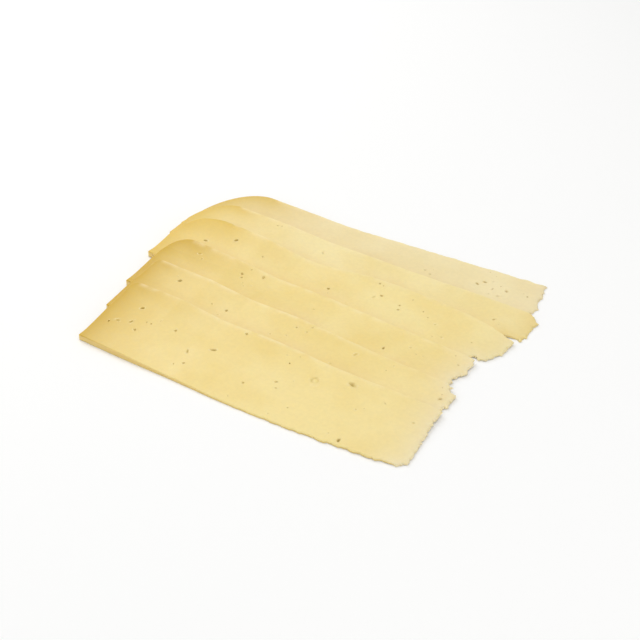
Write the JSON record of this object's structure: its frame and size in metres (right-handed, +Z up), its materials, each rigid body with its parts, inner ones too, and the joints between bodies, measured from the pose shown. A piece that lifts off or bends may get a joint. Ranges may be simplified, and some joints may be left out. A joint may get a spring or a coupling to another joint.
{
  "type": "fan of roumy cheese slices",
  "caption": "Thin slices of hard yellow cheese fanned out over one another, each with a clean-cut rind end and a crumbly torn end, laid out for serving.",
  "frame": {"origin": "middle of the fan's footprint, on the surface that the fan lies on", "axes": "+X along the slices from their rind ends to their torn ends, +Y from the front slice, which lies on top, to the back one, which lies at the bottom, +Z up"},
  "size_m": [0.214, 0.1766, 0.0112],
  "materials": {
    "curd": "smooth, slightly waxy pale yellow pressed curd, cut clean, with small eyes; deeper yellow towards the rind end"
  },
  "bodies": {
    "root": {"slice_1": "curd", "slice_2": "curd", "slice_3": "curd", "slice_4": "curd", "slice_5": "curd", "slice_6": "curd"}
  },
  "joints": []
}
